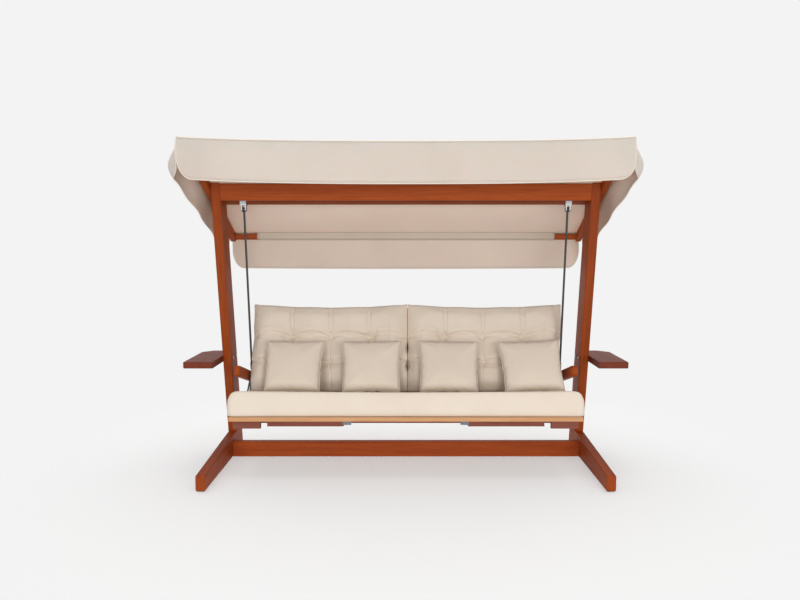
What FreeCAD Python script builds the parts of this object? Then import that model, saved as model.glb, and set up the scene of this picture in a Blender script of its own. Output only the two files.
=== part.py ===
import FreeCAD, Part
import math
import os

# Canopy swing: a hardwood stand with a canvas roof, and a cushioned bench that swings on two steel rods.
# Millimetres, +Z up, the front looks along -Y, and the origin is on the floor at the middle of the whole.

# Overall
half_depth = 569.0

# Stand timber
post_inner_x = 1177.0
timber = 58.0
timber_ease = 4.0
glide_height = 8.0
glide_length = 70.0
glide_width = 44.0
glide_setback = 12.0
glide_ease = 2.5
toe_height = 91.0
runner_height = 146.0
runner_toe_ease = 14.0
post_foot_y = 257.5
post_slope = 0.201
post_depth = 162.0
tenon_thickness = 22.0
tenon_length = 84.0
tenon_depth = 60.0
joint_clearance = 0.2
stretcher_y = 112.0
stretcher_height = 101.0

# Roof timber
arm_line_y = -213.0
arm_line_z = 1836.0
arm_slope = 0.475
roof_arm_height = 55.0
roof_arm_thickness = 38.0
roof_arm_front_y = -535.0
roof_arm_rear_gap = 9.0
post_cap_gap = 5.0
top_beam_drop = 107.0
top_beam_setback = 6.0
hanger_beam_drop = 126.0
hanger_beam_thickness = 50.0
hanger_beam_setback = 115.0
bar_size = 28.0
front_bar_inset = 4.0
front_bar_lift = 18.0
rear_bar_lift = 12.0

# Canvas
canvas = 2.5
canvas_clearance = 0.3
roof_front_overhang = 31.0
roof_rear_overhang = 6.0
valance_drop = 245.0
valance_sag = 10.0
valance_corner = 84.0
valance_corner_rise = 128.0
front_valance_wrap = 4.0
rear_valance_inset = 21.0
sleeve_inset = 160.0
flap_front_flare = 40.0
flap_rear_flare = 6.0
flap_flare_power = 3
flap_fold = 9.0
flap_folds = 4
flap_drop = 195.0
flap_front_drop = 140.0

# Side trays
tray_width = 187.0
tray_front_y = -148.0
tray_rear_y = 345.0
tray_top_z = 703.0
tray_thickness = 43.0
tray_corner = 70.0
tray_ease = 5.0
tray_bolt_spacing = 84.0

# Fasteners
fastener_sides = 8
bolt_radius = 5.0
bolt_clearance = 0.2
bolt_head_radius = 11.0
bolt_head_height = 5.0
bolt_grip = 60.0
screw_radius = 2.5
screw_head_radius = 5.0
screw_head_height = 2.5
screw_length = 40.0

# Hangers and rods
rod_radius = 7.0
eye_thickness = 14.0
eye_wall = 6.5
pin_radius = 6.0
pin_running_clearance = 0.05
bush_wall = 2.5
bush_seat_clearance = 0.02
bush_overhang = 1.0
bracket_plate = 6.0
bracket_width = 46.0
bracket_cheek_width = 34.0
strap_width = 40.0
strap_height = 45.0
cheek_clearance = 1.0
pivot_drop = 26.0
collar_radius = 10.0
collar_length = 46.0
collar_gap = 34.0

# Bench seat, in its own tilted frame: x across, s to the rear, n up from the seat
seat_front_y = -379.0
seat_front_z = 402.0
seat_tilt = 11.3
seat_depth = 580.0
rail_depth = 45.0
front_rail_height = 26.0
front_rail_overhang = 15.0
side_rail_thickness = 38.0
side_rail_height = 45.0
centre_rail_rear_height = 38.0
seat_slat_thickness = 18.0
seat_slat_width = 62.0
seat_slat_count = 6
seat_slat_margin = 12.0
block_outer_gap = 13.0
block_width = 165.0
block_depth = 36.0
block_height = 43.0
block_setback = 8.0
board_outer_gap = 220.0
board_length = 460.0
board_width = 85.0
board_thickness = 30.0
board_setback = 15.0
angle_length = 53.0
angle_drop = 21.0
angle_plate = 3.0

# Armrests and stays
bench_side_gap = 69.0
arm_thickness = 38.0
arm_height = 68.0
arm_reach = 303.0
arm_rise = 272.0
arm_fall = 15.64
arm_length = 420.0
arm_nose = 26.0
arm_ease = 6.0
arm_bolt_place = 340.0
arm_spacer_length = 46.0
stay_plate = 4.0
stay_width = 26.0
stay_front_reach = 280.0
stay_rear_reach = 75.0
stay_eye_radius = 16.0

# Bench back, leaning from the seat's rear edge
back_lean = 4.5
back_height = 735.0
stile_width = 38.0
stile_depth = 34.0
stile_outer_gap = 26.0
back_rail_height = 52.0
back_rail_depth = 24.0
back_rail_low = 40.0
back_slat_width = 58.0
back_slat_thickness = 14.0
back_slat_count = 6
centre_slat_width = 82.0

# Soft goods
soft_clearance = 0.3
soft_facets = 5
cushion_thickness = 147.0
cushion_overhang = 18.0
cushion_bulge = 20.0
cushion_crown = 10.0
cushion_end_draw = 34.0
cushion_end_round = 11.3
cushion_side_draw = 4.0
cushion_ear_gap = 60.0
cushion_stay_gap = 8.0
back_cushion_gap = 20.0
back_cushion_split = 5.0
back_cushion_height = 610.0
back_cushion_edge = 52.0
back_cushion_crown = 112.0
back_cushion_tuft = 84.0
back_cushion_bulge = 15.0
back_cushion_columns = 4
back_cushion_rows = (0.347, 0.627)
back_cushion_end_draw = 4.0
button_radius = 10.0
button_height = 5.0
button_stem = 6.5
button_gap = 0.9
button_stem_radius = 2.0
pillow_size = 380.0
pillow_thickness = 124.0
pillow_edge = 14.0
pillow_side_draw = 12.0
pillow_lean = 19.0
pillow_shares = (-0.711, -0.218, 0.272, 0.797)
pillow_spread = (1.0, 0.8, 0.4, 0.0)
pillow_fullness = (0.11, 0.66, 0.94, 1.0)
pillow_drawn = (0.0, 0.5, 0.9, 1.0)
settle_rounds = 6
settle_margin = 0.15

# Places that follow from the sizes above
post_outer_x = post_inner_x + timber
roof_arm_outer_x = post_outer_x + roof_arm_thickness
runner_top = glide_height + runner_height
top_beam_bottom_z = arm_line_z - top_beam_drop
hanger_beam_bottom_z = arm_line_z - hanger_beam_drop
roof_arm_rear_y = half_depth - roof_arm_rear_gap
roof_front_half_width = roof_arm_outer_x + roof_front_overhang
roof_rear_half_width = roof_arm_outer_x + roof_rear_overhang
front_valance_half_width = roof_front_half_width + front_valance_wrap
rear_valance_half_width = roof_rear_half_width - rear_valance_inset
sleeve_half_length = post_outer_x - sleeve_inset
valance_front_y = roof_arm_front_y - canvas_clearance - canvas
roof_front_y = valance_front_y + canvas
roof_rear_y = half_depth - canvas
arm_inner_x = post_inner_x - bench_side_gap - arm_thickness
stay_x = arm_inner_x - stay_plate
rod_x = stay_x - eye_thickness / 2
side_rail_outer_x = stay_x
side_rail_inner_x = side_rail_outer_x - side_rail_thickness
rail_half_length = side_rail_outer_x + front_rail_overhang
board_inner_x = side_rail_outer_x - board_outer_gap - board_length
stay_front_foot = seat_depth - stay_front_reach
stay_rear_foot = seat_depth - stay_rear_reach
cushion_ear_depth = stay_front_foot - cushion_ear_gap
back_cushion_outer_x = stay_x - back_cushion_gap
side_rail_low = -seat_slat_thickness - side_rail_height
bush_inner = pin_radius + pin_running_clearance
bush_outer = bush_inner + bush_wall
eye_bore = bush_outer + bush_seat_clearance
eye_radius = eye_bore + eye_wall
stile_outer_x = stay_x - stile_outer_gap


def vec(x, y, z):
    return FreeCAD.Vector(x, y, z)


def box(x0, x1, y0, y1, z0, z1):
    return Part.makeBox(x1 - x0, y1 - y0, z1 - z0, vec(x0, y0, z0))


def prism(outline, x0, x1):
    """A side outline of (y, z) points carried across from x0 to x1."""
    points = [vec(x0, y, z) for y, z in outline]
    face = Part.Face(Part.makePolygon(points + points[:1]))
    return face.extrude(vec(x1 - x0, 0, 0))


def bar_x(radius, x0, x1, y, z):
    """A round bar along X."""
    return Part.makeCylinder(radius, x1 - x0, vec(x0, y, z), vec(1, 0, 0))


def facet_bar(radius, start, run):
    """A bar with a few flat sides from start along run, for the small pieces that repeat."""
    turn = FreeCAD.Rotation(vec(0, 0, 1), run)
    points = []
    for index in range(fastener_sides):
        angle = 2 * math.pi * index / fastener_sides
        points.append(start + turn.multVec(vec(math.cos(angle), math.sin(angle), 0)) * radius)
    return Part.Face(Part.makePolygon(points + points[:1])).extrude(run)


def ease(shape, width, shortest):
    """Take the sharpness off the edges that are at least as long as shortest."""
    edges = [edge for edge in shape.Edges if edge.Length >= shortest]
    return shape.makeChamfer(width, edges)


def mirror(shape):
    return shape.mirror(vec(0, 0, 0), vec(1, 0, 0))


def save(name, *solids):
    os.makedirs("parts", exist_ok=True)
    shape = solids[0] if len(solids) == 1 else Part.makeCompound(list(solids))
    shape.exportStep("parts/" + name + ".step")


def save_pair(name, right):
    save("right_" + name, right)
    save("left_" + name, mirror(right))


def bolt(x_head, x_tip, y, z):
    """A bolt along X with its head outside x_head."""
    side = 1 if x_head > x_tip else -1
    start = vec(x_head, y, z)
    shank = facet_bar(bolt_radius, start, vec(x_tip - x_head, 0, 0))
    head = facet_bar(bolt_head_radius, start, vec(side * bolt_head_height, 0, 0))
    return shank.fuse(head).removeSplitter()


def bolt_hole(x0, x1, y, z):
    return facet_bar(bolt_radius + bolt_clearance, vec(x0, y, z), vec(x1 - x0, 0, 0))


# Lines of the stand that several pieces share


def post_front(z):
    return post_foot_y - post_slope * z


def arm_low(y):
    return arm_line_z - arm_slope * (y - arm_line_y)


def arm_top(y):
    return arm_low(y) + roof_arm_height


def cap_point(setback):
    """Where a face that lies setback behind the posts' front meets the slope just under the canvas."""
    cap = arm_line_z + roof_arm_height - post_cap_gap + arm_slope * arm_line_y
    z = (cap - arm_slope * (post_foot_y + setback)) / (1 - arm_slope * post_slope)
    return post_front(z) + setback, z


def leaning_outline(z_low, setback, depth):
    """A side outline that leans with the posts and ends under the canvas."""
    low = post_front(z_low) + setback
    return [(low, z_low), cap_point(setback), cap_point(setback + depth), (low + depth, z_low)]


def sloped_outline(y0, y1, lift, height):
    """A side outline that follows the canopy arms' slope."""
    return [(y0, arm_low(y0) + lift), (y0, arm_low(y0) + lift + height),
            (y1, arm_low(y1) + lift + height), (y1, arm_low(y1) + lift)]


# Bolt places in the stand
beam_bolt_y = post_front(arm_line_z) + top_beam_setback + timber / 2
hanger_bolt_y = cap_point(hanger_beam_setback)[0] + hanger_beam_thickness / 2
roof_bolts = [(y, arm_low(y) + roof_arm_height / 2) for y in (beam_bolt_y, hanger_bolt_y)]
tray_bolt_z = tray_top_z - tray_thickness / 2
tray_bolt_middle = post_front(tray_bolt_z) + post_depth / 2
tray_bolts = [(tray_bolt_middle + side * tray_bolt_spacing / 2, tray_bolt_z) for side in (-1, 1)]
stretcher_bolt = (stretcher_y + timber / 2, glide_height + stretcher_height / 2)

# Pivot of the swing, under the middle of the hanger beam's lower face
pivot_y = post_front(hanger_beam_bottom_z) + hanger_beam_setback + hanger_beam_thickness / 2
pivot_z = hanger_beam_bottom_z - bracket_plate - pivot_drop


def tenon(clearance):
    """The tongue under a post, grown by the clearance to cut its mortise."""
    middle_x = post_inner_x + timber / 2
    middle_y = post_front(runner_top) + post_depth / 2
    half_x = tenon_thickness / 2 + clearance
    half_y = tenon_length / 2 + clearance
    return box(middle_x - half_x, middle_x + half_x, middle_y - half_y, middle_y + half_y,
               runner_top - tenon_depth - clearance, runner_top)


def make_runner():
    heel = post_front(runner_top) + post_depth
    outline = [(-half_depth, glide_height), (-half_depth, glide_height + toe_height),
               (post_front(runner_top), runner_top), (heel, runner_top),
               (post_front(glide_height) + post_depth, glide_height)]
    solid = prism(outline, post_inner_x, post_outer_x)
    toe = [edge for edge in solid.Edges if abs(edge.BoundBox.YMax + half_depth) < joint_clearance
           and edge.BoundBox.ZLength < joint_clearance and edge.BoundBox.ZMin > glide_height]
    solid = solid.makeFillet(runner_toe_ease, toe)
    solid = ease(solid, timber_ease, runner_height + timber)
    solid = solid.cut(tenon(joint_clearance))
    return solid.cut(bolt_hole(post_inner_x, post_outer_x, *stretcher_bolt))


def make_glides():
    middle_x = post_inner_x + timber / 2
    heel = post_front(glide_height) + post_depth
    starts = (glide_setback - half_depth, heel - glide_setback - glide_length)
    pads = []
    for start in starts:
        pad = box(middle_x - glide_width / 2, middle_x + glide_width / 2, start, start + glide_length,
                  0, glide_height)
        lower = [edge for edge in pad.Edges if edge.BoundBox.ZMax < glide_height]
        pads.append(pad.makeChamfer(glide_ease, lower))
    return pads + [mirror(pad) for pad in pads]


def make_post():
    outline = leaning_outline(runner_top, 0, post_depth)
    solid = ease(prism(outline, post_inner_x, post_outer_x), timber_ease, post_depth + timber)
    solid = solid.fuse(tenon(0))
    for y, z in roof_bolts + tray_bolts:
        solid = solid.cut(bolt_hole(post_inner_x, post_outer_x, y, z))
    return solid


def make_stretcher():
    solid = box(-post_inner_x, post_inner_x, stretcher_y, stretcher_y + timber,
                glide_height, glide_height + stretcher_height)
    solid = ease(solid, timber_ease, post_inner_x)
    for x in (-post_inner_x, post_inner_x - bolt_grip):
        solid = solid.cut(bolt_hole(x, x + bolt_grip, *stretcher_bolt))
    return solid


def make_beam(outline, place):
    """A beam between the posts, bored at both ends for the bolt at place."""
    solid = ease(prism(outline, -post_inner_x, post_inner_x), timber_ease, post_inner_x)
    for x in (-post_inner_x, post_inner_x - bolt_grip):
        solid = solid.cut(bolt_hole(x, x + bolt_grip, *place))
    return solid


# The way into the hanger beam's leaning front, and the bracket strap's thickness along it
into_beam = vec(0, 1, post_slope).normalize()
strap_depth = into_beam * (bracket_plate * into_beam.y)


def bracket_screw_places():
    """Where the bracket screws enter the hanger beam's front."""
    z = hanger_beam_bottom_z + strap_height / 2
    face = post_front(z) + hanger_beam_setback
    return [vec(rod_x + side * strap_width / 4, face, z) for side in (-1, 1)]


def make_hanger_beam():
    outline = leaning_outline(hanger_beam_bottom_z, hanger_beam_setback, hanger_beam_thickness)
    solid = make_beam(outline, roof_bolts[1])
    for place in bracket_screw_places():
        hole = facet_bar(screw_radius + bolt_clearance, place, into_beam * screw_length)
        solid = solid.cut(hole).cut(mirror(hole))
    return solid


def make_roof_arm():
    outline = sloped_outline(roof_arm_front_y, roof_arm_rear_y, 0, roof_arm_height)
    solid = prism(outline, post_outer_x, roof_arm_outer_x)
    lower = [edge for edge in solid.Edges if edge.Length > half_depth
             and edge.CenterOfMass.z < arm_top(edge.CenterOfMass.y) - roof_arm_height / 2]
    solid = solid.makeChamfer(timber_ease, lower)
    for y, z in roof_bolts:
        solid = solid.cut(bolt_hole(post_outer_x, roof_arm_outer_x, y, z))
    return solid


def rear_bar_outline(grow):
    rear = roof_arm_rear_y + grow
    front = roof_arm_rear_y - bar_size - grow
    return sloped_outline(front, rear, rear_bar_lift - grow, bar_size + 2 * grow)


def make_front_bar():
    front = roof_arm_front_y + front_bar_inset
    outline = sloped_outline(front, front + bar_size, front_bar_lift, bar_size)
    return ease(prism(outline, -post_outer_x, post_outer_x), timber_ease, post_outer_x)


def make_rear_bar():
    return ease(prism(rear_bar_outline(0), -post_outer_x, post_outer_x), timber_ease, post_outer_x)


def make_sleeve():
    outer = prism(rear_bar_outline(canvas_clearance + canvas), -sleeve_half_length, sleeve_half_length)
    return outer.cut(prism(rear_bar_outline(canvas_clearance), -sleeve_half_length, sleeve_half_length))


def roof_half_width(y):
    share = (y - roof_front_y) / (roof_rear_y - roof_front_y)
    return roof_front_half_width + share * (roof_rear_half_width - roof_front_half_width)


def make_roof_sheet():
    ends = []
    for y in (roof_front_y, roof_rear_y):
        half = roof_half_width(y)
        low = arm_top(y)
        high = low + canvas
        corners = [vec(-half, y, low), vec(half, y, low), vec(half, y, high), vec(-half, y, high)]
        ends.append(Part.makePolygon(corners + corners[:1]))
    return Part.makeLoft(ends, True, True)


def make_valance(y, half, top):
    """A hanging strip with round lower corners and a hem that sags a little in the middle."""
    corner = valance_corner
    rise = valance_corner_rise
    low = top - valance_drop
    cut = corner * (1 - math.sqrt(0.5))
    lift = rise * (1 - math.sqrt(0.5))
    right_start = vec(half, y, low + rise)
    right_end = vec(half - corner, y, low)
    left_start = vec(corner - half, y, low)
    left_end = vec(-half, y, low + rise)
    edges = [
        Part.makeLine(vec(-half, y, top), vec(half, y, top)),
        Part.makeLine(vec(half, y, top), right_start),
        Part.Arc(right_start, vec(half - cut, y, low + lift), right_end).toShape(),
        Part.Arc(right_end, vec(0, y, low - valance_sag), left_start).toShape(),
        Part.Arc(left_start, vec(cut - half, y, low + lift), left_end).toShape(),
        Part.makeLine(left_end, vec(-half, y, top)),
    ]
    return Part.Face(Part.Wire(edges)).extrude(vec(0, canvas, 0))


def make_flap():
    """A side flap that flares at the front and falls in soft folds towards the rear."""
    steps = 2 * flap_folds
    sections = []
    for step in range(steps + 1):
        share = step / steps
        y = roof_front_y + share * (roof_rear_y - roof_front_y)
        flare = flap_rear_flare + (flap_front_flare - flap_rear_flare) * (1 - share) ** flap_flare_power
        fold = flap_fold if step % 2 == 0 else 0
        drop = flap_front_drop if step == 0 else flap_drop
        top_x = roof_half_width(y)
        low_x = top_x + flare + fold
        top_z = arm_top(y) + canvas
        corners = [vec(top_x, y, top_z), vec(top_x + canvas, y, top_z),
                   vec(low_x + canvas, y, top_z - drop), vec(low_x, y, top_z - drop)]
        sections.append(Part.makePolygon(corners + corners[:1]))
    return Part.makeLoft(sections, True, True)


def make_tray():
    x0 = post_outer_x
    x1 = post_outer_x + tray_width
    low = tray_top_z - tray_thickness
    plan = [vec(x0, tray_front_y, low), vec(x1, tray_front_y, low), vec(x1, tray_rear_y - tray_corner, low),
            vec(x1 - tray_corner, tray_rear_y, low), vec(x0, tray_rear_y, low)]
    solid = Part.Face(Part.makePolygon(plan + plan[:1])).extrude(vec(0, 0, tray_thickness))
    outer = [edge for edge in solid.Edges if edge.BoundBox.XMax > x0 + joint_clearance]
    solid = solid.makeChamfer(tray_ease, outer)
    for y, z in tray_bolts:
        solid = solid.cut(bolt_hole(x0, x0 + bolt_grip, y, z))
    return solid


def make_hanger_bracket():
    """A steel plate under the beam with a strap up its front and two cheeks that hold the pivot pin."""
    plate_low = hanger_beam_bottom_z - bracket_plate
    plate = box(rod_x - strap_width / 2, rod_x + strap_width / 2,
                pivot_y - bracket_width / 2, pivot_y + bracket_width / 2, plate_low, hanger_beam_bottom_z)
    strap_top = hanger_beam_bottom_z + strap_height
    low_y = post_front(hanger_beam_bottom_z) + hanger_beam_setback
    high_y = post_front(strap_top) + hanger_beam_setback
    strap = [(low_y - bracket_plate, plate_low), (pivot_y, plate_low), (pivot_y, hanger_beam_bottom_z),
             (low_y, hanger_beam_bottom_z), (high_y, strap_top), (high_y - bracket_plate, strap_top),
             (low_y - bracket_plate, hanger_beam_bottom_z)]
    plate = plate.fuse(prism(strap, rod_x - strap_width / 2, rod_x + strap_width / 2))
    for place in bracket_screw_places():
        plate = plate.cut(facet_bar(screw_radius + bolt_clearance, place - strap_depth, strap_depth))
    inner = eye_thickness / 2 + bush_overhang + cheek_clearance
    half = bracket_cheek_width / 2
    for x0 in (rod_x - inner - bracket_plate, rod_x + inner):
        cheek = box(x0, x0 + bracket_plate, pivot_y - half, pivot_y + half, pivot_z, plate_low)
        plate = plate.fuse(cheek).fuse(bar_x(half, x0, x0 + bracket_plate, pivot_y, pivot_z))
    reach = inner + bracket_plate
    return plate.cut(bar_x(pin_radius, rod_x - reach, rod_x + reach, pivot_y, pivot_z)).removeSplitter()


def make_pin():
    reach = eye_thickness / 2 + bush_overhang + cheek_clearance + bracket_plate
    pin = bar_x(pin_radius, rod_x - reach, rod_x + reach, pivot_y, pivot_z)
    for x in (rod_x - reach - bracket_plate / 2, rod_x + reach):
        pin = pin.fuse(facet_bar(bolt_head_radius, vec(x, pivot_y, pivot_z), vec(bracket_plate / 2, 0, 0)))
    return pin.removeSplitter()


def make_screws():
    screws = []
    for place in bracket_screw_places():
        start = place - strap_depth
        shank = facet_bar(screw_radius, start, strap_depth + into_beam * screw_length)
        head = facet_bar(screw_head_radius, start, into_beam * -screw_head_height)
        screws.append(shank.fuse(head).removeSplitter())
    return screws + [mirror(screw) for screw in screws]


# The bench's frames: seat (x, s, n) and back (x, forward as -s, up), both turned into the stand's frame
seat_frame = FreeCAD.Placement(vec(0, seat_front_y, seat_front_z), FreeCAD.Rotation(vec(1, 0, 0), -seat_tilt))
back_frame = FreeCAD.Placement(vec(0, seat_depth, 0), FreeCAD.Rotation(vec(1, 0, 0), -back_lean))
arm_place = vec(0, seat_front_y + seat_depth - arm_reach, seat_front_z + arm_rise)
arm_frame = FreeCAD.Placement(arm_place, FreeCAD.Rotation(vec(1, 0, 0), -arm_fall))


def on_seat(shape):
    shape.Placement = seat_frame.multiply(shape.Placement)
    return shape


def on_back(shape):
    """From the back's frame to the seat's frame."""
    shape.Placement = back_frame.multiply(shape.Placement)
    return shape


arm_bolt_point = arm_frame.multVec(vec(0, arm_bolt_place, -arm_height / 2))
rod_length = math.hypot(arm_bolt_point.y - pivot_y, pivot_z - arm_bolt_point.z)
rod_lean = math.degrees(math.atan2(arm_bolt_point.y - pivot_y, pivot_z - arm_bolt_point.z))


def make_rod():
    """A hanger rod with an eye for the bush above and an eye for the arm bolt below."""
    half = eye_thickness / 2
    shank = Part.makeCylinder(rod_radius, rod_length, vec(0, 0, -rod_length))
    lower_radius = bolt_radius + bolt_clearance + eye_wall
    collar_low = -rod_length + lower_radius + collar_gap
    collar = Part.makeCylinder(collar_radius, collar_length, vec(0, 0, collar_low))
    solid = shank.common(box(-half, half, -rod_radius, rod_radius, -rod_length, 0)).fuse(collar)
    solid = solid.fuse(bar_x(eye_radius, -half, half, 0, 0))
    solid = solid.fuse(bar_x(lower_radius, -half, half, 0, -rod_length))
    solid = solid.cut(bar_x(eye_bore, -half, half, 0, 0))
    solid = solid.cut(bar_x(bolt_radius + bolt_clearance, -half, half, 0, -rod_length))
    lean = FreeCAD.Rotation(vec(1, 0, 0), rod_lean)
    solid.Placement = FreeCAD.Placement(vec(rod_x, pivot_y, pivot_z), lean)
    return solid


def make_bush():
    half = eye_thickness / 2 + bush_overhang
    outer = bar_x(bush_outer, rod_x - half, rod_x + half, pivot_y, pivot_z)
    return outer.cut(bar_x(bush_inner, rod_x - half, rod_x + half, pivot_y, pivot_z))


def stile_bolt_point():
    """Where the arm crosses the middle of the outer stile, in the stand's frame."""
    slope = math.tan(math.radians(back_lean))
    seat_point = seat_frame.inverse().multVec(arm_bolt_point)
    rise = seat_point.z
    return seat_frame.multVec(vec(0, seat_depth + slope * rise + stile_depth / 2, rise))


def arm_middle(point):
    """The point on the arm's centre line that is level along the arm with the given point."""
    along = arm_frame.inverse().multVec(point).y
    return arm_frame.multVec(vec(0, along, -arm_height / 2))


spacer_point = arm_middle(stile_bolt_point())


def make_arm():
    solid = box(arm_inner_x, arm_inner_x + arm_thickness, 0, arm_length, -arm_height, 0)
    nose = [edge for edge in solid.Edges if edge.BoundBox.YMax < joint_clearance
            and edge.BoundBox.ZLength < joint_clearance]
    solid = solid.makeFillet(arm_nose, nose)
    solid = ease(solid, arm_ease, arm_length - 2 * arm_nose)
    solid.Placement = arm_frame
    return solid.cut(bolt_hole(arm_inner_x, arm_inner_x + arm_thickness, arm_bolt_point.y, arm_bolt_point.z))


def make_arm_spacer():
    """A block between the outer stile and the arm, in line with the stile."""
    half = arm_spacer_length / 2
    middle = seat_frame.inverse().multVec(spacer_point).z
    solid = box(stile_outer_x, arm_inner_x, 0, stile_depth, middle - half, middle + half)
    return on_seat(on_back(solid))


def stay_feet():
    low = side_rail_low + side_rail_height / 2
    return [seat_frame.multVec(vec(0, s, low)) for s in (stay_front_foot, stay_rear_foot)]


def make_stay():
    """A forked flat steel bar from the arm bolt down to the seat's side rail."""
    solid = bar_x(stay_eye_radius, stay_x, arm_inner_x, arm_bolt_point.y, arm_bolt_point.z)
    for foot in stay_feet():
        run = foot - arm_bolt_point
        side = vec(0, -run.z, run.y).normalize() * (stay_width / 2)
        corners = [arm_bolt_point + side, foot + side, foot - side, arm_bolt_point - side]
        leg = prism([(p.y, p.z) for p in corners], stay_x, arm_inner_x)
        end = facet_bar(stay_width / 2, vec(stay_x, foot.y, foot.z), vec(stay_plate, 0, 0))
        solid = solid.fuse(leg).fuse(end)
    for point in stay_feet() + [arm_bolt_point]:
        solid = solid.cut(bolt_hole(stay_x, arm_inner_x, point.y, point.z))
    return solid.removeSplitter()


def make_side_rail():
    solid = box(side_rail_inner_x, side_rail_outer_x, rail_depth, seat_depth - rail_depth,
                side_rail_low, -seat_slat_thickness)
    solid = on_seat(solid)
    for foot in stay_feet():
        solid = solid.cut(bolt_hole(side_rail_inner_x, side_rail_outer_x, foot.y, foot.z))
    return solid


def make_seat_slats():
    first = rail_depth + seat_slat_margin
    last = seat_depth - rail_depth - seat_slat_margin - seat_slat_width
    slats = []
    for index in range(seat_slat_count):
        start = first + (last - first) * index / (seat_slat_count - 1)
        slats.append(on_seat(box(-side_rail_outer_x, side_rail_outer_x, start, start + seat_slat_width,
                                 -seat_slat_thickness, 0)))
    return slats


def make_block():
    outer_x = side_rail_outer_x - block_outer_gap
    return on_seat(box(outer_x - block_width, outer_x, block_setback, block_setback + block_depth,
                       -front_rail_height - block_height, -front_rail_height))


def make_board():
    solid = box(board_inner_x, board_inner_x + board_length, board_setback, board_setback + board_width,
                -front_rail_height - board_thickness, -front_rail_height)
    return on_seat(solid)


def make_angle():
    """A steel angle at a board's inner end, against the front rail's underside."""
    top = -front_rail_height
    x0 = board_inner_x - angle_length
    flat = box(x0, board_inner_x, board_setback, board_setback + board_width, top - angle_plate, top)
    upright = box(board_inner_x - angle_plate, board_inner_x, board_setback, board_setback + board_width,
                  top - board_thickness, top)
    lip = box(x0, board_inner_x, board_setback, board_setback + angle_plate, top - angle_drop, top)
    return on_seat(flat.fuse(upright).fuse(lip).removeSplitter())


def make_stile(x0):
    """A back stile: upright where it is fixed to the seat's rear rail, leaning above the seat."""
    slope = math.tan(math.radians(back_lean))
    lean = slope * back_height
    outline = [(seat_depth, side_rail_low), (seat_depth, 0), (seat_depth + lean, back_height),
               (seat_depth + lean + stile_depth, back_height), (seat_depth + stile_depth, 0),
               (seat_depth + stile_depth, side_rail_low)]
    return on_seat(prism(outline, x0, x0 + stile_width))


def make_back_rails():
    rails = []
    reach = back_height / math.cos(math.radians(back_lean))
    for low in (back_rail_low, reach - back_rail_low - back_rail_height):
        high = low + back_rail_height
        rail = box(stile_width / 2, stile_outer_x - stile_width, 0, back_rail_depth, low, high)
        rail = on_seat(on_back(rail))
        rails += [rail, mirror(rail)]
    return rails


def make_back_slats():
    top = back_height / math.cos(math.radians(back_lean)) - back_rail_low
    slats = [box(-centre_slat_width / 2, centre_slat_width / 2, -back_slat_thickness, 0, back_rail_low, top)]
    first = centre_slat_width / 2
    pitch = (stile_outer_x - first) / back_slat_count
    for index in range(back_slat_count):
        x0 = first + (index + 1) * pitch - back_slat_width
        slat = box(x0, x0 + back_slat_width, -back_slat_thickness, 0, back_rail_low, top)
        slats += [slat, mirror(slat)]
    return [on_seat(on_back(slat)) for slat in slats]


def facet(*points):
    return Part.Face(Part.makePolygon(points + points[:1]))


def loft(sections):
    """A solid through closed sections, each a list of corners with a point on the bow to the next corner."""
    rings = []
    for section in sections:
        ring = []
        for index, (start, through) in enumerate(section):
            ring.append(start)
            if through is not None:
                end = section[(index + 1) % len(section)][0]
                bow = Part.Arc(start, through, end).toShape()
                ring += bow.discretize(soft_facets + 1)[1:-1]
        rings.append(ring)
    faces = [facet(*rings[0]), facet(*rings[-1])]
    for near, far in zip(rings, rings[1:]):
        for index in range(len(near)):
            after = (index + 1) % len(near)
            faces.append(facet(near[index], near[after], far[index]))
            faces.append(facet(near[after], far[after], far[index]))
    shell = Part.makeShell(faces)
    shell.sewShape()
    solid = Part.makeSolid(shell)
    if solid.Volume < 0:
        solid.reverse()
    return solid.removeSplitter()


def make_seat_cushion():
    """A long cushion with a crowned top, round faces and narrower rear half between the stays."""
    half = rail_half_length + cushion_overhang
    low = soft_clearance
    middle = seat_depth / 2
    sections = []
    ends = ((half, cushion_end_draw), (half - cushion_end_round, cushion_end_round),
            (half - cushion_end_draw, 0), (0, cushion_side_draw))
    stations = [(-x, draw) for x, draw in ends] + [(x, draw) for x, draw in reversed(ends[:-1])]
    for x, draw in stations:
        front = cushion_bulge + draw
        rear = seat_depth - soft_clearance - back_slat_thickness - cushion_bulge - draw
        top = cushion_thickness - cushion_crown - draw
        high = (top + low) / 2
        sections.append([
            (vec(x, front, low), None),
            (vec(x, rear, low), vec(x, rear + cushion_bulge, high)),
            (vec(x, rear, top), vec(x, middle, top + cushion_crown)),
            (vec(x, front, top), vec(x, front - cushion_bulge, high)),
        ])
    solid = loft(sections)
    notch_x = side_rail_outer_x - cushion_stay_gap
    for x0, x1 in ((notch_x, 2 * half), (-2 * half, -notch_x)):
        solid = solid.cut(box(x0, x1, cushion_ear_depth, 2 * seat_depth, 0, 2 * cushion_thickness))
    return solid


def tuft_depth(share):
    """A back cushion's thickness at a share of its width: edge, cell middle or button column."""
    if share in (0, 1):
        return back_cushion_edge
    at_button = (share * back_cushion_columns) % 1 == 0
    return back_cushion_tuft if at_button else back_cushion_crown


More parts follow.
